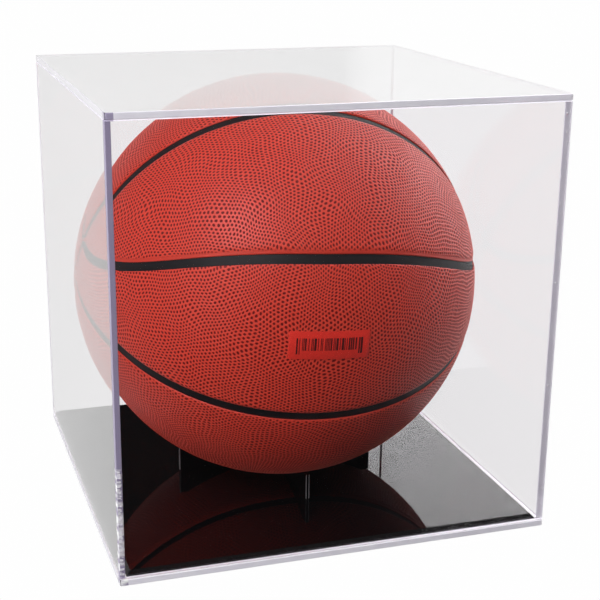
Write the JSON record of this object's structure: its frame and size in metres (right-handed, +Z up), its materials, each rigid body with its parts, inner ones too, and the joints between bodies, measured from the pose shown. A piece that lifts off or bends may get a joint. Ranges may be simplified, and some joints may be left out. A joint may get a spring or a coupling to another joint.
{
  "type": "ball display case",
  "caption": "Clear acrylic display cube on a black floor plate, with a lift-off cover, a crossed stand and a basketball resting on it.",
  "frame": {"origin": "middle of the underside of the clear base sheet", "axes": "+Z up, +X to the right and -Y towards the front, seen from the front"},
  "size_m": [0.248, 0.248, 0.2495],
  "materials": {
    "clear_acrylic": "clear, polished, lavender-grey at the cut edges",
    "black_acrylic": "black, mirror gloss",
    "ball_cover": "pebbled red-orange composite, satin",
    "ball_rubber": "matt black",
    "label_film": "printed film, satin"
  },
  "bodies": {
    "base": {"clear_base_sheet": "clear_acrylic", "floor_plate": "black_acrylic", "stand_plate_across": "black_acrylic", "stand_plate_along": "black_acrylic"},
    "cover": {"top_panel": "clear_acrylic", "front_panel": "clear_acrylic", "back_panel": "clear_acrylic", "left_panel": "clear_acrylic", "right_panel": "clear_acrylic"},
    "ball": {"ball_carcass": "ball_rubber", "ball_bladder": "ball_rubber", "ball_valve": "ball_rubber", "ball_label": "label_film", "ball_panel_front_upper": "ball_cover", "ball_band_front_upper": "ball_cover", "ball_panel_front_lower": "ball_cover", "ball_band_front_lower": "ball_cover", "ball_panel_back_upper": "ball_cover", "ball_band_back_upper": "ball_cover", "ball_panel_back_lower": "ball_cover", "ball_band_back_lower": "ball_cover"}
  },
  "joints": [
    {"name": "cover_lift", "type": "slide", "parent": "base", "child": "cover", "axis": [0, 0, 1], "range_m": [0, 0.26]},
    {"name": "ball_turn", "type": "hinge", "parent": "base", "child": "ball", "pos_m": [0, 0, 0.12615], "axis": [0, 0, 1], "continuous": true}
  ]
}
